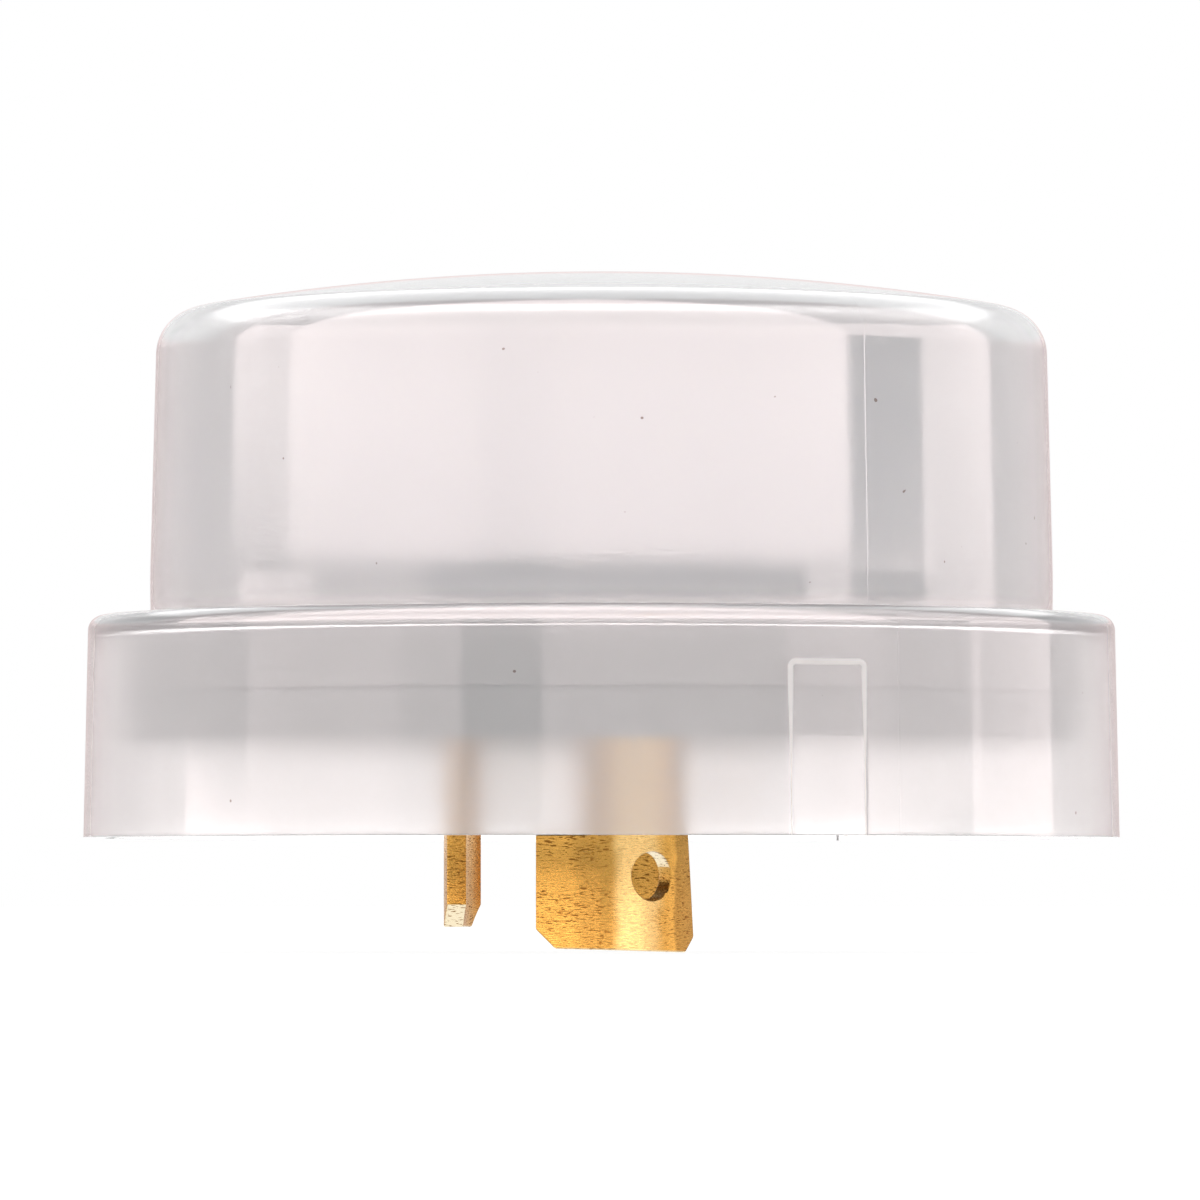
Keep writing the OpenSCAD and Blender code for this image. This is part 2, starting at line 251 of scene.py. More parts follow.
def moulded_polypropylene(settings):
    """Natural polypropylene, injection moulded: milky, half clear and glossy, with orange peel on the dome.

    Along the sharp edges of the key grooves it carries a whiter painted highlight, and a few dark specks are
    moulded in.
    """
    material, tree, output = new_material("Moulded natural polypropylene")
    place = pattern_place(tree)
    height = add_node(tree, "ShaderNodeSeparateXYZ", {0: place}).outputs[2]
    ledge, shoulder = settings.ledge_height, settings.ledge_height + settings.dome_height
    above = smooth_step(tree, height, ledge - 0.1 * MM, ledge + 0.2 * MM)
    below = smooth_step(tree, height, shoulder - 1.5 * MM, shoulder - 4 * MM)
    peel = math(tree, "MULTIPLY", noise(tree, place, settings.peel_grain, detail=1.0),
                math(tree, "MULTIPLY", above, below))
    speck = smooth_step(tree, noise(tree, place, 0.9 * MM, detail=0.0), 0.88, 0.9)
    milky = mixed(tree, speck, opaque(settings.colour), opaque(settings.speck_colour))
    # Painted highlight: the light that the edges of the key grooves catch, painted whiter and less clear on
    # the skin
    white = groove_edge_highlight(tree, place, settings)
    milky = mixed(tree, white, milky, opaque(settings.groove_highlight_colour))
    # The light that isn't scattered where it enters the wall leaves it as through glass; the dome is milkier
    leaving = add_node(tree, "ShaderNodeNewGeometry").outputs["Backfacing"]
    dome = smooth_step(tree, height, ledge, ledge + 1.5 * MM)
    entering = math(tree, "MULTIPLY_ADD", dome, settings.dome_clearness - settings.skirt_clearness,
                    settings.skirt_clearness)
    entering = math(tree, "MULTIPLY", entering, math(tree, "MULTIPLY_ADD", white, -0.6, 1.0))
    surface(tree, output, {
        "Base Color": mixed(tree, leaving, milky, opaque(settings.clear_colour)),
        "Roughness": 0.16,
        "IOR": 1.49,
        "Subsurface Weight": 1.0,
        "Subsurface Radius": (1.0, 0.95, 0.93),
        "Subsurface Scale": 3 * MM,
        "Transmission Weight": math(tree, "MAXIMUM", leaving, entering),
        "Specular IOR Level": 0.25,
        "Coat Weight": 1.0,
        "Coat Roughness": 0.03,
        "Coat IOR": 1.75,
        "Coat Normal": bumped(tree, peel, settings.peel_depth),
    })
    return material


def moulded_polyester(settings):
    """Filled grey polyester, moulded: dull, with slight flow marks."""
    material, tree, output = new_material("Moulded grey polyester")
    place = pattern_place(tree)
    flow = noise(tree, place, 6 * MM, detail=3.0)
    grain = noise(tree, place, 0.25 * MM)
    dark, pale = opaque(settings.base_colour), opaque([1.15 * c for c in settings.base_colour])
    surface(tree, output, {
        "Base Color": mixed(tree, flow, dark, pale),
        "Roughness": 0.5,
        "IOR": 1.52,
        "Normal": bumped(tree, grain, 0.01 * MM),
    })
    return material


def foam_rubber(settings):
    """Closed-cell foam rubber, die cut: dull, with cells about half a millimetre wide on every face."""
    material, tree, output = new_material("Closed-cell foam rubber")
    place = pattern_place(tree)
    cells = add_node(tree, "ShaderNodeTexVoronoi", {"Vector": place, "Scale": 1 / (0.5 * MM)}, feature="F1")
    depth = smooth_step(tree, cells.outputs["Distance"], 0.55, 0.1)
    mottle = noise(tree, place, 3 * MM, detail=3.0)
    dark, pale = opaque([0.75 * c for c in settings.colour]), opaque([1.2 * c for c in settings.colour])
    surface(tree, output, {
        "Base Color": mixed(tree, mottle, dark, pale),
        "Roughness": 0.9,
        "IOR": 1.5,
        "Specular IOR Level": 0.2,
        "Normal": bumped(tree, depth, -0.08 * MM),
    })
    return material


def rolled_brass(settings, painted_light=False):
    """Cold-rolled cartridge brass strip, stamped: golden, with short dark pits drawn out along the rolling.

    On the faces that look down it is paler, a painted reflection of the lit floor below. A blade with painted
    light has painted shade along a soft fold, a pale painted highlight beside it, and a browner strip of
    painted shade along its right edge.
    """
    material, tree, output = new_material("Rolled cartridge brass" + (", rubbed" if painted_light else ""))
    place = pattern_place(tree)
    pits = noise(tree, pattern_place(tree, scale=(0.17, 0.17, 1)), 0.085 * MM, detail=1.0)
    patches = noise(tree, place, 2.5 * MM, detail=2.0)
    share = math(tree, "MULTIPLY", smooth_step(tree, pits, 0.56, 0.66),
                 smooth_step(tree, patches, 0.3, 0.55))
    streaks = noise(tree, pattern_place(tree, scale=(0.1, 0.1, 1)), 0.3 * MM, detail=3.0)
    metal = mixed(tree, streaks, opaque(settings.colour), opaque([0.86 * c for c in settings.colour]))
    # Painted light on the neutral blade: a pale painted highlight where a soft box is mirrored, painted shade
    # along the soft fold, a browner painted shade along the right edge, and fewer pits under the highlight
    if painted_light:
        across = add_node(tree, "ShaderNodeSeparateXYZ", {0: place}).outputs[0]
        wave = math(tree, "MULTIPLY_ADD", patches, 0.8 * MM, across)
        pale = window(tree, wave, 1.2 * MM, 5.0 * MM, 1.2 * MM)
        crease_shade = window(tree, wave, -1.6 * MM, 1.5 * MM, 1.4 * MM)
        hook_shade = smooth_step(tree, wave, 6.1 * MM, 6.4 * MM)
        metal = mixed(tree, pale, metal, opaque(settings.painted_highlight_colour))
        metal = mixed(tree, crease_shade, metal, opaque([0.72 * c for c in settings.colour]))
        metal = mixed(tree, hook_shade, metal, opaque([0.55 * c for c in settings.colour]))
        share = math(tree, "MULTIPLY", share, math(tree, "MULTIPLY_ADD", pale, -0.7, 1.0))
    # Painted reflection: faces that look down are painted paler, as a mirror image of the lit floor below
    facing = add_node(tree, "ShaderNodeNewGeometry").outputs["True Normal"]
    upwards = add_node(tree, "ShaderNodeSeparateXYZ", {0: facing}).outputs[2]
    floor_lit = smooth_step(tree, upwards, -0.3, -0.5)
    metal = mixed(tree, floor_lit, metal, opaque(settings.painted_floor_glint_colour))
    surface(tree, output, {
        "Base Color": mixed(tree, share, metal, opaque(settings.pit_colour)),
        "Metallic": 1.0,
        "Roughness": math(tree, "MULTIPLY_ADD", share, 0.3, settings.roughness),
        "Normal": bumped(tree, pits, -0.012 * MM),
    })
    return material


def drawn_brass(settings):
    """Drawn brass wire with upset heads: brighter than the strip, and faintly ringed by the heading tool."""
    material, tree, output = new_material("Headed brass wire")
    streaks = noise(tree, pattern_place(tree, scale=(1, 1, 0.2)), 0.3 * MM, detail=2.0)
    bright, dull = opaque(settings.colour), opaque([0.8 * c for c in settings.colour])
    surface(tree, output, {
        "Base Color": mixed(tree, streaks, bright, dull),
        "Metallic": 1.0,
        "Roughness": 0.28,
        "Normal": bumped(tree, streaks, 0.006 * MM),
    })
    return material


# Settings


class CoverSettings(PropertyGroup):
    rim_radius: FloatProperty(
        name="Rim radius", description="Outer radius of the skirt at its rim",
        default=COVER_HIGH[0], unit="LENGTH", precision=5)
    rim_height: FloatProperty(
        name="Rim height", description="Height of the rim, below the seating plane",
        default=COVER_LOW[2], unit="LENGTH", precision=5)
    ledge_height: FloatProperty(
        name="Ledge height", description="Height of the ledge between skirt and dome",
        default=10.3 * MM, unit="LENGTH", precision=5)
    skirt_draft: FloatProperty(
        name="Skirt draft", description="Draft of the skirt wall",
        default=np.radians(1.2), unit="ROTATION")
    ledge_edge: FloatProperty(
        name="Ledge edge", description="Radius on the outer edge of the ledge",
        default=1.2 * MM, unit="LENGTH", precision=5)
    dome_radius: FloatProperty(
        name="Dome radius", description="Outer radius of the dome where it leaves the ledge",
        default=36.7 * MM, unit="LENGTH", precision=5)
    dome_height: FloatProperty(
        name="Dome height", description="Height of the dome from the ledge to the shoulder of its crown",
        default=24.9 * MM, unit="LENGTH", precision=5)
    dome_draft: FloatProperty(
        name="Dome draft", description="Draft of the dome wall",
        default=np.radians(1.45), unit="ROTATION")
    dome_edge: FloatProperty(
        name="Dome edge", description="Radius between the dome wall and the crown",
        default=3.8 * MM, unit="LENGTH", precision=5)
    crown_radius: FloatProperty(
        name="Crown radius", description="Radius of the shallow crown",
        default=196 * MM, unit="LENGTH", precision=5)
    wall: FloatProperty(
        name="Wall", description="Wall of skirt and dome",
        default=1.8 * MM, unit="LENGTH", precision=5)
    ledge_thickness: FloatProperty(
        name="Ledge thickness", description="Thickness of the ledge",
        default=1.5 * MM, unit="LENGTH", precision=5)
    key_angle: FloatProperty(
        name="Key angle", description="Place of the groove that shows at the front",
        default=np.radians(-26), unit="ROTATION")
    key_width: FloatProperty(
        name="Key width", description="Width of a key groove inside the skirt",
        default=6.2 * MM, unit="LENGTH", precision=5)
    key_radius: FloatProperty(
        name="Key radius", description="Radius of the bottom of the key grooves",
        default=40.55 * MM, unit="LENGTH", precision=5)
    key_top: FloatProperty(
        name="Key top", description="Height at which a key groove ends",
        default=6 * MM, unit="LENGTH", precision=5)
    dome_parting: FloatProperty(
        name="Dome parting", description="Place of the mould's parting line on the dome",
        default=np.radians(-34.8), unit="ROTATION")
    skirt_parting: FloatProperty(
        name="Skirt parting", description="Place of the mould's parting line on the skirt",
        default=np.radians(-33.65), unit="ROTATION")
    parting_height: FloatProperty(
        name="Parting ridge", description="Height of the ridge that the parting line leaves",
        default=0.014 * MM, unit="LENGTH", precision=6)
    colour: FloatVectorProperty(
        name="Colour", description="Colour of the milky plastic",
        default=linear("#D0D0D2"), subtype="COLOR", min=0, max=1)
    clear_colour: FloatVectorProperty(
        name="Clear colour", description="Tint of the light that passes the plastic",
        default=linear("#FFF8F4"), subtype="COLOR", min=0, max=1)
    speck_colour: FloatVectorProperty(
        name="Specks", description="Colour of the dark specks in the plastic",
        default=linear("#8C7E78"), subtype="COLOR", min=0, max=1)
    # The painted highlight along the edges of the key grooves
    groove_highlight_colour: FloatVectorProperty(
        name="Groove edges", description="Colour of the plastic along the edges of the key grooves",
        default=linear("#FFF6F2"), subtype="COLOR", min=0, max=1)
    skirt_clearness: FloatProperty(
        name="Skirt clearness", description="Share of the light that the skirt's wall doesn't scatter",
        default=0.6, min=0, max=1, subtype="FACTOR")
    dome_clearness: FloatProperty(
        name="Dome clearness", description="Share of the light that the dome's wall doesn't scatter",
        default=0.28, min=0, max=1, subtype="FACTOR")
    peel_grain: FloatProperty(
        name="Peel grain", description="Size of the orange peel on the skin",
        default=0.22 * MM, unit="LENGTH", precision=5)
    peel_depth: FloatProperty(
        name="Peel depth", description="Depth of the orange peel on the skin",
        default=0.0055 * MM, unit="LENGTH", precision=7)
    sink_depth: FloatProperty(
        name="Sink depth", description="Depth of the sink round the dome's foot, where the wall was thickest",
        default=0.1 * MM, unit="LENGTH", precision=6)
    sink_width: FloatProperty(
        name="Sink width", description="Height over the foot at which a third of the sink's depth is left",
        default=2.1 * MM, unit="LENGTH", precision=5)
    rim_edge: FloatProperty(
        name="Rim edge", description="Radius on the edges of the rim",
        default=0.05 * MM, unit="LENGTH", precision=6)
    foot_edge: FloatProperty(
        name="Foot edge", description="Radius between the ledge and the dome",
        default=0.06 * MM, unit="LENGTH", precision=6)


class BaseSettings(PropertyGroup):
    edge: FloatProperty(
        name="Edge", description="Rounding of the base's edges",
        default=0.15 * MM, unit="LENGTH", precision=5)
    base_colour: FloatVectorProperty(
        name="Colour", description="Colour of the grey base",
        default=linear("#AAAAAA"), subtype="COLOR", min=0, max=1)


class GasketSettings(PropertyGroup):
    edge: FloatProperty(
        name="Edge", description="Rounding of the foam's edges",
        default=0.3 * MM, unit="LENGTH", precision=5)
    waist: FloatProperty(
        name="Waist", description="How far the sides of the foam are drawn in by the cut",
        default=0.15 * MM, unit="LENGTH", precision=5)
    inner_radius: FloatProperty(
        name="Inner radius", description="Radius of the hole in the foam",
        default=27.3 * MM, unit="LENGTH", precision=5)
    colour: FloatVectorProperty(
        name="Colour", description="Colour of the foam",
        default=linear("#AEB0B0"), subtype="COLOR", min=0, max=1)


class BrassSettings(PropertyGroup):
    edge: FloatProperty(
        name="Edge", description="Rounding that the stamping leaves on the edges of the blades",
        default=0.12 * MM, unit="LENGTH", precision=5)
    colour: FloatVectorProperty(
        name="Brass", description="Colour of the brass",
        default=linear("#DDA852"), subtype="COLOR", min=0, max=1)
    pit_colour: FloatVectorProperty(
        name="Pits", description="Colour of the dark pits of the rolled strip",
        default=linear("#946328"), subtype="COLOR", min=0, max=1)
    # The painted highlight on the neutral blade, where a soft box is mirrored
    painted_highlight_colour: FloatVectorProperty(
        name="Painted_highlight", description="Colour of the brass where it is rubbed bright",
        default=linear("#EEC680"), subtype="COLOR", min=0, max=1)
    # The painted reflection of the lit floor on the brass faces that look down
    painted_floor_glint_colour: FloatVectorProperty(
        name="Floor_glint", description="Colour of the freshly sheared lower edges",
        default=linear("#FFF0CE"), subtype="COLOR", min=0, max=1)
    roughness: FloatProperty(
        name="Roughness", description="Roughness of the rolled strip",
        default=0.27, min=0, max=1, subtype="FACTOR")


class StageSettings(PropertyGroup):
    camera_distance: FloatProperty(
        name="Camera distance", description="Distance of the camera from the axis of the cap",
        default=0.860, unit="LENGTH")
    camera_height: FloatProperty(
        name="Camera height", description="Height of the camera over the seating plane",
        default=-12.8 * MM, unit="LENGTH", precision=5)
    floor_radius: FloatProperty(
        name="Floor radius", description="Radius of the round floor",
        default=6.0, unit="LENGTH")
    room_light: FloatProperty(
        name="Room light", description="Strength of the even light between the soft boxes",
        default=0.9, min=0)
    box_colour: FloatVectorProperty(
        name="Box colour", description="Colour of the soft boxes that the gloss shows",
        default=linear("#FFEEED"), subtype="COLOR", min=0, max=1)
    backdrop_glow: FloatProperty(
        name="Backdrop glow", description="Strength of the backdrop where it shines through the plastic",
        default=2.7, min=0)
    image_size: IntProperty(
        name="Image size", description="Width and height of the picture, in pixels",
        default=1200, min=1)


def settings_of(context, name):
    return getattr(context.scene, "shorting_cap_" + name)


# Cover


def dome_arcs(low_radius, low_z, shoulder_z, draft, edge, top_radius, steps):
    """Half section of a dome, from its wall to the axis: the round shoulder, then the crown.

    The shoulder's circle touches the drafted wall and, from inside, the crown's circle, whose centre is on
    the axis.
    """
    centre_r = low_radius - (shoulder_z - edge - low_z) * np.tan(draft) - edge / np.cos(draft)
    slope = np.arcsin(centre_r / (top_radius - edge))
    centre_z = shoulder_z - edge * np.cos(slope)
    crown_z = centre_z - (top_radius - edge) * np.cos(slope)
    shoulder = arc(centre_r, centre_z, edge, np.degrees(draft), 90 - np.degrees(slope), steps)
    crown = arc(0, crown_z, top_radius, 90 - np.degrees(slope), 90, steps)
    return np.concatenate([shoulder, crown[1:]])


def filleted(corner, before, after, radius, steps):
    """Round corner in a half section: an arc that touches the lines from before to corner and on to after."""
    corner = np.array(corner)
    back = (np.array(before) - corner) / np.linalg.norm(np.array(before) - corner)
    on = (np.array(after) - corner) / np.linalg.norm(np.array(after) - corner)
    half = np.arccos(np.clip(back @ on, -1, 1)) / 2
    middle = (back + on) / np.linalg.norm(back + on)
    centre = corner + middle * radius / np.sin(half)
    start = corner + back * radius / np.tan(half) - centre
    end = corner + on * radius / np.tan(half) - centre
    a, b = np.arctan2(start[1], start[0]), np.arctan2(end[1], end[0])
    turn = (b - a + np.pi) % (2 * np.pi) - np.pi
    return arc(*centre, radius, np.degrees(a), np.degrees(a + turn), steps)


def cover_outline(s):
    """Half sections of the cover's outside and inside, each from the rim to the axis.

    The straight walls reach right up to the round edges, so that only the edges bend the shading.
    """
    tan_skirt, tan_dome = np.tan(s.skirt_draft), np.tan(s.dome_draft)
    shoulder_z = s.ledge_height + s.dome_height
    ledge_under = s.ledge_height - s.ledge_thickness
    rim_out = (s.rim_radius, s.rim_height)
    ledge_out = (s.rim_radius - (s.ledge_height - s.rim_height) * tan_skirt, s.ledge_height)
    foot = (s.dome_radius, s.ledge_height)
    dome = dome_arcs(*foot, shoulder_z, s.dome_draft, s.dome_edge, s.crown_radius, steps=30)
    before_ledge, before_shoulder = 1.06 * s.ledge_edge, 0.04 * MM
    sink_end, plain_start = 6 * MM, 8 * MM

    def dome_wall(above):
        """The point of the dome's wall that is above the ledge by this height."""
        return s.dome_radius - above * tan_dome, s.ledge_height + above

    outside = np.concatenate([
        filleted(rim_out, (s.rim_radius - s.wall, s.rim_height), ledge_out, s.rim_edge, steps=4),
        straight((s.rim_radius - 2 * s.rim_edge * tan_skirt, s.rim_height + 2 * s.rim_edge),
                 (ledge_out[0] + before_ledge * tan_skirt, s.ledge_height - before_ledge), steps=8),
        filleted(ledge_out, rim_out, foot, s.ledge_edge, steps=12),
        filleted(foot, ledge_out, dome[0], s.foot_edge, steps=5),
        straight(dome_wall(2 * s.foot_edge), dome_wall(sink_end), steps=20),
        straight(dome_wall(plain_start),
                 (dome[0][0] + before_shoulder * tan_dome, dome[0][1] - before_shoulder), steps=6),
        dome,
    ])
    # The sink round the foot: depth * exp(-((z - foot) / width) ** 2), on the dome's wall only
    on_dome = (outside[:, 1] > s.ledge_height + s.foot_edge) & (outside[:, 0] > s.dome_radius - 2 * MM)
    sunk = s.sink_depth * np.exp(-((outside[:, 1] - s.ledge_height) / s.sink_width) ** 2)
    outside[:, 0] -= sunk * on_dome

    bore_rim = (s.rim_radius - s.wall, s.rim_height)
    bore_top = (s.rim_radius - (ledge_under - s.rim_height) * tan_skirt - s.wall, ledge_under)
    mouth = (s.dome_radius + s.ledge_thickness * tan_dome - s.wall, ledge_under)
    inner_dome = dome_arcs(*mouth, shoulder_z - s.wall, s.dome_draft, s.dome_edge - s.wall,
                           s.crown_radius - s.wall, steps=20)
    bore_fillet, mouth_fillet = 0.6 * MM, 0.2 * MM
    past_rim, past_groove, past_mouth = 0.3 * MM, 0.4 * MM, 0.6 * MM
    groove_z = np.array([s.key_top - GROOVE_STEP, s.key_top])
    wall_z = np.concatenate([
        np.linspace(s.rim_height + past_rim, groove_z[0] - past_groove, 6),
        groove_z,
        [s.key_top + past_groove],
    ])
    inside = np.concatenate([
        filleted(bore_rim, rim_out, bore_top, s.rim_edge, steps=4),
        np.column_stack([bore_rim[0] - (wall_z - s.rim_height) * tan_skirt, wall_z]),
        filleted(bore_top, bore_rim, mouth, bore_fillet, steps=6),
        filleted(mouth, bore_top, inner_dome[0], mouth_fillet, steps=4),
        straight((mouth[0] - past_mouth * tan_dome, ledge_under + past_mouth), inner_dome[0], steps=5)[:-1],
        inner_dome,
    ])
    return outside, inside


def cover_angles(s):
    """Angles of the columns: even ones, pairs at the sides of the grooves, fine sets at the parting lines."""
    key_half = np.arcsin(s.key_width / 2 / s.key_radius)
    hair = 0.03 * MM / s.rim_radius
    keys = s.key_angle + np.arange(3) * 2 * np.pi / 3
    sides = np.array([-key_half - hair, -key_half, key_half, key_half + hair])
    lines = np.add.outer([s.dome_parting, s.skirt_parting], np.arange(2) * np.pi)
    fine = np.linspace(-0.2, 0.2, 11) * MM / s.rim_radius
    special = np.concatenate([np.add.outer(keys, sides).ravel(), np.add.outer(lines, fine).ravel()])
    special = special % (2 * np.pi)
    even = np.arange(COVER_COLUMNS) * 2 * np.pi / COVER_COLUMNS
    even = even[nearest(even, special) > np.pi / COVER_COLUMNS / 2]
    return np.sort(np.concatenate([even, special])), keys, key_half, lines


def cover_mesh(s):
    """Closed shell of the cover: the outside turned round the axis, and the inside with its key grooves.

    A point of row i and column j has the section's radius and height. On the outside the parting ridge adds
    height * max(0, 1 - distance / width) to the radius of the walls. On the inside the radius is the groove's
    where the column is within a groove and the row is below its end.
    """
    outside, inside = cover_outline(s)
    angles, keys, key_half, lines = cover_angles(s)
    on_wall = outside[:, :1] > s.dome_radius - 3 * MM
    to_line = np.where(outside[:, 1:] > s.ledge_height, nearest(angles, lines[0]), nearest(angles, lines[1]))
    ridge = s.parting_height * np.clip(1 - to_line * s.rim_radius / RIDGE_WIDTH, 0, 1)
    out_r = outside[:, :1] + ridge * on_wall
    in_key = nearest(angles, keys) <= key_half * (1 + 1e-6)
    in_groove = in_key & (inside[:, 1:] < s.key_top - GROOVE_STEP / 2)
    in_r = np.where(in_groove, np.maximum(s.key_radius, inside[:, :1]), inside[:, :1])
    radius = np.concatenate([out_r[:-1][::-1], in_r[:-1]])
    height = np.concatenate([outside[:-1, 1:][::-1], inside[:-1, 1:]])
    rows, columns = radius.shape
    verts = np.concatenate([
        round_points(radius, height, angles),
        [[0, 0, outside[-1, 1]], [0, 0, inside[-1, 1]]],
    ])
    quads = ring_faces(rows, columns, closed=False)
    j = np.arange(columns)
    beside, last = (j + 1) % columns, (rows - 1) * columns
    top = np.column_stack([np.full(columns, rows * columns), j, beside, beside])
    under = np.column_stack([np.full(columns, rows * columns + 1), last + beside, last + j, last + j])
    faces = finish_faces(verts, np.concatenate([quads, top, under]))
    as_lists = [list(dict.fromkeys(face)) for face in faces.tolist()]
    return new_piece("cover_shell", verts, as_lists, sharp_angle=35)


class MakeCover(Operator):
    """Turns the moulded cover round its axis, with key grooves, parting line and milky plastic"""
    bl_idname = "shorting_cap.cover"
    bl_label = "Cover"

    def execute(self, context):
        settings = settings_of(context, "cover")
        piece = cover_mesh(settings)
        piece.data.materials.append(moulded_polypropylene(settings))
        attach(piece, BODY)
        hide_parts("cover")
        return {"FINISHED"}


# Gasket


def gasket_mesh(s):
    """Foam ring: its half section is a rounded rectangle whose sides bow inwards by waist * sin(pi * t)."""
    inner, outer, low, high = s.inner_radius, GASKET_HIGH[0], GASKET_LOW[2], GASKET_HIGH[2]
    corners = [(outer, low), (outer, high), (inner, high), (inner, low)]
    rounds = [
        filleted(corners[k], corners[k - 1], corners[(k + 1) % 4], s.edge, steps=7) for k in range(4)
    ]
    section = np.concatenate([
        rounds[0],
        straight(rounds[0][-1], rounds[1][0], steps=7)[1:-1],
        rounds[1],
        rounds[2],
        straight(rounds[2][-1], rounds[3][0], steps=7)[1:-1],
        rounds[3],
    ])
    t = (section[:, 1] - low) / (high - low)
    section[:, 0] -= np.sign(section[:, 0] - (inner + outer) / 2) * s.waist * np.sin(np.pi * t)
    angles = np.arange(GASKET_COLUMNS) * 2 * np.pi / GASKET_COLUMNS
    verts = round_points(section[:, :1], section[:, 1:], angles)
    faces = finish_faces(verts, ring_faces(len(section), GASKET_COLUMNS, closed=True))
    return new_piece("foam_gasket", verts, faces.tolist(), sharp_angle=60)


class MakeGasket(Operator):
    """Makes the die-cut foam ring under the base"""
    bl_idname = "shorting_cap.gasket"
    bl_label = "Gasket"

    def execute(self, context):
        settings = settings_of(context, "gasket")
        piece = gasket_mesh(settings)
        piece.data.materials.append(foam_rubber(settings))
        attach(piece, BODY)
        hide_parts("gasket")
        return {"FINISHED"}


# Pieces that keep the form of their node


def merged_copy(node, name):
    """A node's mesh with its doubles merged and its flat triangles joined, as a new object."""
    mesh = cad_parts[node].data.copy()
    mesh.materials.clear()
    form = bmesh.new()
    form.from_mesh(mesh)
    bmesh.ops.remove_doubles(form, verts=form.verts, dist=0.0005 * MM)
    bmesh.ops.dissolve_limit(form, angle_limit=np.radians(0.6), verts=form.verts, edges=form.edges)
    for face in form.faces:
        face.smooth = True
    form.to_mesh(mesh)
    form.free()
    mesh.name = name
    mesh.set_sharp_from_angle(angle=np.radians(SHARP_ANGLE))
    return placed(name, mesh)


def dress(node, name, edge, material):
    """Puts a merged copy of a node's mesh in place of the node, its sharp edges rounded if edge isn't 0."""
    piece = merged_copy(node, name)
    if edge:
        bevel = piece.modifiers.new("Rounded edges", "BEVEL")
        bevel.width = edge
        bevel.segments = 2
        bevel.limit_method = "ANGLE"
        bevel.angle_limit = np.radians(SHARP_ANGLE)
        bevel.use_clamp_overlap = False
        bevel.harden_normals = True
    piece.data.materials.append(material)
    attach(piece, BODY)
    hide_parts(node)


class MakeBase(Operator):
    """Finishes the grey base that carries the blades"""
    bl_idname = "shorting_cap.base"
    bl_label = "Base"

    def execute(self, context):
        settings = settings_of(context, "base")
        dress("base", "moulded_base", settings.edge, moulded_polyester(settings))
        return {"FINISHED"}


class MakeBlades(Operator):
    """Finishes the three rolled brass blades"""
    bl_idname = "shorting_cap.blades"
    bl_label = "Blades"

    def execute(self, context):
        settings = settings_of(context, "brass")
        material = rolled_brass(settings)
        for blade in BLADES:
            # The neutral blade's brass carries a painted highlight and painted shade
            finish = rolled_brass(settings, painted_light=True) if blade == "neutral_blade" else material
            dress(blade, "rolled_" + blade, settings.edge, finish)
        return {"FINISHED"}


class MakeLink(Operator):
    """Finishes the link and the rivets that hold it and the blades to the base"""
    bl_idname = "shorting_cap.link"
    bl_label = "Link and rivets"

    def execute(self, context):
        settings = settings_of(context, "brass")
        dress("shorting_link", "stamped_link", 0, rolled_brass(settings))
        wire = drawn_brass(settings)
        for rivet in RIVETS:
            dress(rivet, "headed_" + rivet, 0, wire)
        return {"FINISHED"}


# Stage


# Soft boxes and dark cards round the cap: azimuth from and to, elevation from and to, the width of the soft
# edges up and down, and the light that each adds for gloss and for the rest. Angles are degrees; azimuth 0 is
# the camera's side and grows to the right. A panel that starts at BOTH_SIDES or more hangs on both sides.
BOTH_SIDES = 119
SIDE_EDGE = 1.2
PANELS = (
    (-87, 66, 4.0, 90, 0.2, 3.8, -0.1),
    (-87, 66, 24, 60, 16.0, -0.8, 0.0),
    (-31, -13, 4.0, 26, 0.2, -0.3, 0.0),
    (-109, -87, 4.0, 26, 0.2, 2.3, 0.6),
    (66, 90, 4.0, 6.3, 0.2, -0.9, 0.0),
    (66, 90, 6.3, 28, 0.4, 2.0, 0.0),
    (90, 119, 4.0, 26, 0.2, 1.8, 0.8),
    (-119, -85, 2.2, 4.0, 0.2, -0.1, 0.0),
    (-85, -45, 2.2, 4.0, 0.2, 0.5, 0.0),
    (-45, 41, 2.2, 4.0, 0.2, 0.1, 0.0),
    (-31, -13, 2.2, 4.0, 0.2, -1.0, 0.0),
    (41, 93, 2.2, 4.0, 0.2, 0.9, 0.0),
    (-105, -78, -14, 2.2, 0.4, 1.5, 0.0),
    (-78, -45, -14, 2.2, 0.4, 0.3, -0.2),
    (-45, 53, -14, 2.2, 0.4, -0.9, -0.8),
    (53, 66, -14, 2.2, 0.4, 1.6, 0.0),
    (66, 90, -14, 2.2, 0.4, -0.9, -0.8),
    (90, 119, -14, 4.0, 0.4, 1.0, 0.0),
    (66, 119, 28, 90, 6.0, 0.3, 0.0),
    (-119, -87, 28, 90, 6.0, 0.3, 0.0),
    (119, 190, 28, 90, 6.0, 1.4, 0.0),
    (119, 190, -14, 5, 2.0, -0.2, 0.0),
    (140, 190, -20, 40, 6.0, 0.0, 1.5),
)


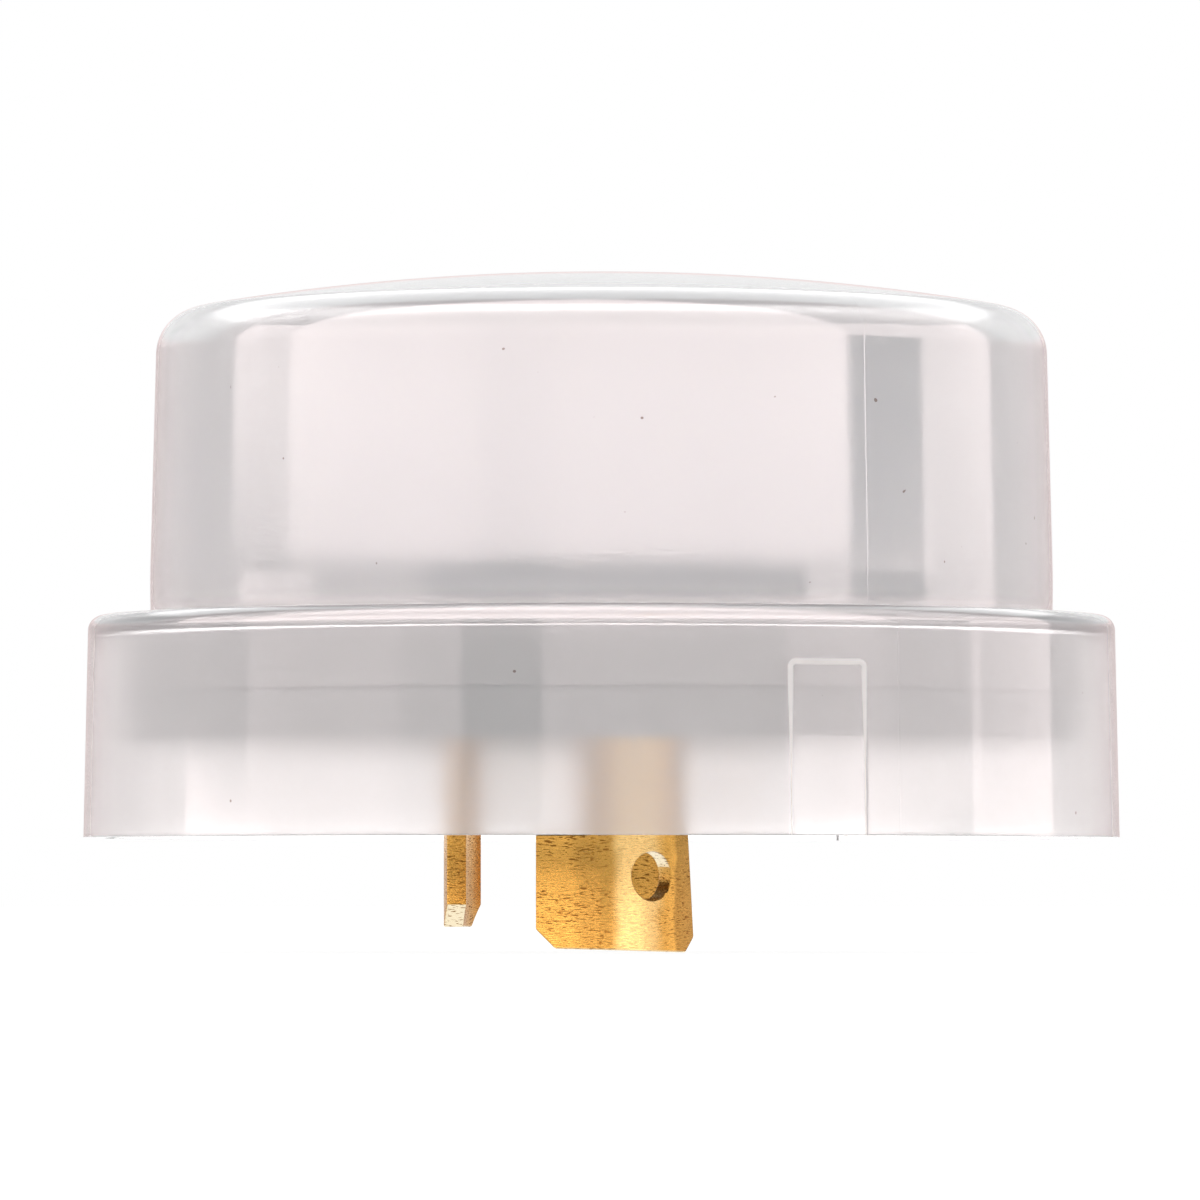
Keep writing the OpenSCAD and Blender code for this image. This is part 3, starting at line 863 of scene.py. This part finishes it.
def light_tent(s):
    """World: even light with soft boxes and cards for lamps and gloss, and plain white for what is seen."""
    world = bpy.data.worlds.new("Light tent")
    bpy.context.scene.world = world
    world.use_nodes = True
    tree = world.node_tree
    tree.nodes.clear()
    direction = add_node(tree, "ShaderNodeTexCoord").outputs["Generated"]
    x, y, z = add_node(tree, "ShaderNodeSeparateXYZ", {0: direction}).outputs
    azimuth = math(tree, "DEGREES", math(tree, "ARCTAN2", x, math(tree, "MULTIPLY", y, -1)))
    behind = math(tree, "ABSOLUTE", azimuth)
    elevation = math(tree, "DEGREES", math(tree, "ARCSINE", z))
    steps = {}

    def between(angle, low, high, edge):
        """1 from low to high degrees; panels that share an edge share the node that makes it."""
        for place in (low, high):
            key = (angle.node.name, place, edge)
            if key not in steps:
                steps[key] = smooth_step(tree, angle, place - edge / 2, place + edge / 2)
        return math(tree, "SUBTRACT", steps[angle.node.name, low, edge],
                    steps[angle.node.name, high, edge])

    gloss = body = s.room_light
    for left, right, low, high, edge, gloss_level, body_level in PANELS:
        across = between(behind if left >= BOTH_SIDES else azimuth, left, right, SIDE_EDGE)
        up = between(elevation, low, high, edge)
        share = math(tree, "MULTIPLY", across, up)
        if gloss_level:
            gloss = math(tree, "MULTIPLY_ADD", share, gloss_level, gloss)
        if body_level:
            body = math(tree, "MULTIPLY_ADD", share, body_level, body)
    path = add_node(tree, "ShaderNodeLightPath")
    glossy = path.outputs["Is Glossy Ray"]
    light = add_node(tree, "ShaderNodeMix", {0: glossy, 2: body, 3: gloss}).outputs[0]
    # The boxes are a little warm, but pure white behind the cap, over 9 degrees up
    warm = math(tree, "MAXIMUM", smooth_step(tree, behind, 125, 115), smooth_step(tree, elevation, 9, 6))
    tinted = math(tree, "MULTIPLY", glossy, warm)
    colour = mixed(tree, tinted, (1, 1, 1, 1), opaque(s.box_colour))
    seen = math(tree, "MAXIMUM", path.outputs["Is Camera Ray"], path.outputs["Is Transmission Ray"])
    glow = math(tree, "MULTIPLY_ADD", path.outputs["Is Transmission Ray"], s.backdrop_glow - 1, 1.0)
    tent = add_node(tree, "ShaderNodeBackground", {"Color": colour, "Strength": light}).outputs[0]
    white = add_node(tree, "ShaderNodeBackground", {"Color": (1, 1, 1, 1), "Strength": glow}).outputs[0]
    shown = add_node(tree, "ShaderNodeMixShader", {0: seen, 1: tent, 2: white})
    add_node(tree, "ShaderNodeOutputWorld", {"Surface": shown.outputs[0]})


def pale_floor(s):
    """A round floor under the tips of the blades: matt white paper that shows white where no shadow falls."""
    count = 128
    a = np.arange(count) * 2 * np.pi / count
    height = np.full(count, CAD_LOW[2])
    verts = np.column_stack([s.floor_radius * np.cos(a), s.floor_radius * np.sin(a), height])
    mesh = bpy.data.meshes.new("floor")
    mesh.from_pydata(verts.tolist(), [], [list(range(count))])
    floor = placed("floor", mesh)
    paper_grey, lit_level, lit_share = 0.8, 1.12, 0.85
    material, tree, output = new_material("White paper")
    paper = add_node(tree, "ShaderNodeBsdfDiffuse", {"Color": opaque((paper_grey,) * 3)}).outputs[0]
    path = add_node(tree, "ShaderNodeLightPath")
    glow = math(tree, "MULTIPLY_ADD", path.outputs["Is Transmission Ray"], s.backdrop_glow - 1, lit_level)
    white = add_node(tree, "ShaderNodeEmission", {"Color": (1, 1, 1, 1), "Strength": glow}).outputs[0]
    seen = math(tree, "MAXIMUM", path.outputs["Is Camera Ray"], path.outputs["Is Transmission Ray"])
    seen = math(tree, "MAXIMUM", seen, path.outputs["Is Glossy Ray"])
    share = math(tree, "MULTIPLY", seen, lit_share)
    shown = add_node(tree, "ShaderNodeMixShader", {0: share, 1: paper, 2: white})
    tree.links.new(shown.outputs[0], output.inputs["Surface"])
    mesh.materials.append(material)


def photo_camera(s):
    """A long lens at the height of the blades, tilted up a little, as in the photograph."""
    focal_px, horizon_y, axis_x, sensor = 10595, 901, 601.5, 36.0
    camera = bpy.data.cameras.new("photo_camera")
    camera.sensor_width = sensor
    camera.lens = focal_px * sensor / s.image_size
    camera.clip_start, camera.clip_end = 0.05, 20
    holder = placed("photo_camera", camera)
    aside = (s.image_size / 2 - axis_x) / focal_px * s.camera_distance
    holder.location = (aside, -s.camera_distance, s.camera_height)
    holder.rotation_euler = (np.pi / 2 + np.arctan2(horizon_y - s.image_size / 2, focal_px), 0, 0)
    bpy.context.scene.camera = holder


class MakeStage(Operator):
    """Sets the pale floor, the light tent and the camera"""
    bl_idname = "shorting_cap.stage"
    bl_label = "Stage"

    def execute(self, context):
        settings = settings_of(context, "stage")
        light_tent(settings)
        pale_floor(settings)
        photo_camera(settings)
        context.scene.view_settings.view_transform = "Standard"
        context.scene.cycles.max_bounces = 8
        context.scene.cycles.transmission_bounces = 8
        return {"FINISHED"}


class ShortingCapPanel(Panel):
    """Lists what makes the pieces of the cap"""
    bl_idname = "VIEW3D_PT_shorting_cap"
    bl_label = "Shorting cap"
    bl_space_type = "VIEW_3D"
    bl_region_type = "UI"
    bl_category = "Shorting cap"

    def draw(self, context):
        for operator, group in STEPS:
            self.layout.operator(operator.bl_idname)
            for name in GROUPS[group].__annotations__:
                self.layout.prop(settings_of(context, group), name)


GROUPS = {
    "stage": StageSettings,
    "cover": CoverSettings,
    "base": BaseSettings,
    "gasket": GasketSettings,
    "brass": BrassSettings,
}
STEPS = (
    (MakeStage, "stage"),
    (MakeCover, "cover"),
    (MakeBase, "base"),
    (MakeGasket, "gasket"),
    (MakeBlades, "brass"),
    (MakeLink, "brass"),
)
CLASSES = (*GROUPS.values(), *(operator for operator, _ in STEPS), ShortingCapPanel)


def register():
    for item in CLASSES:
        bpy.utils.register_class(item)
    for name, group in GROUPS.items():
        setattr(bpy.types.Scene, "shorting_cap_" + name, PointerProperty(type=group))


def unregister():
    for name in GROUPS:
        delattr(bpy.types.Scene, "shorting_cap_" + name)
    for item in reversed(CLASSES):
        bpy.utils.unregister_class(item)


def main():
    register()
    bpy.ops.shorting_cap.stage()
    bpy.ops.shorting_cap.cover()
    bpy.ops.shorting_cap.base()
    bpy.ops.shorting_cap.gasket()
    bpy.ops.shorting_cap.blades()
    bpy.ops.shorting_cap.link()


if __name__ == "__main__":
    main()
